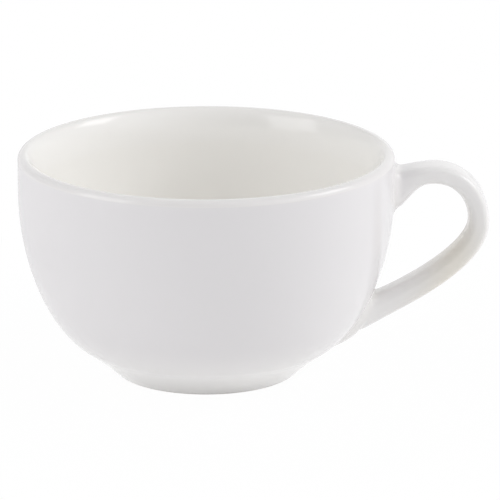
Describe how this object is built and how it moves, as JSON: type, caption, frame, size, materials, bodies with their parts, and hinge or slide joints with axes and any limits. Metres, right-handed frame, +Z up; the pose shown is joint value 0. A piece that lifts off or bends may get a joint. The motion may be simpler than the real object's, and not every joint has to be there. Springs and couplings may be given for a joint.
{
  "type": "bowl-shaped cup",
  "caption": "Thick white porcelain cup with a deep rounded bowl, eased lip, foot ring and an ear handle luted to the wall, for coffee or soup.",
  "frame": {"origin": "on the surface that the cup stands on, under the middle of the whole cup's box, so the bowl's axis lies 13.86 mm towards -X", "axes": "+Z up along the bowl's axis, +X towards the handle, the cup is the same on both sides of the XZ plane"},
  "size_m": [0.1378, 0.11, 0.066],
  "materials": {
    "glazed_porcelain": "gloss"
  },
  "bodies": {
    "root": {"bowl": "glazed_porcelain", "handle": "glazed_porcelain", "upper_joint": "glazed_porcelain", "lower_joint": "glazed_porcelain"}
  },
  "joints": []
}
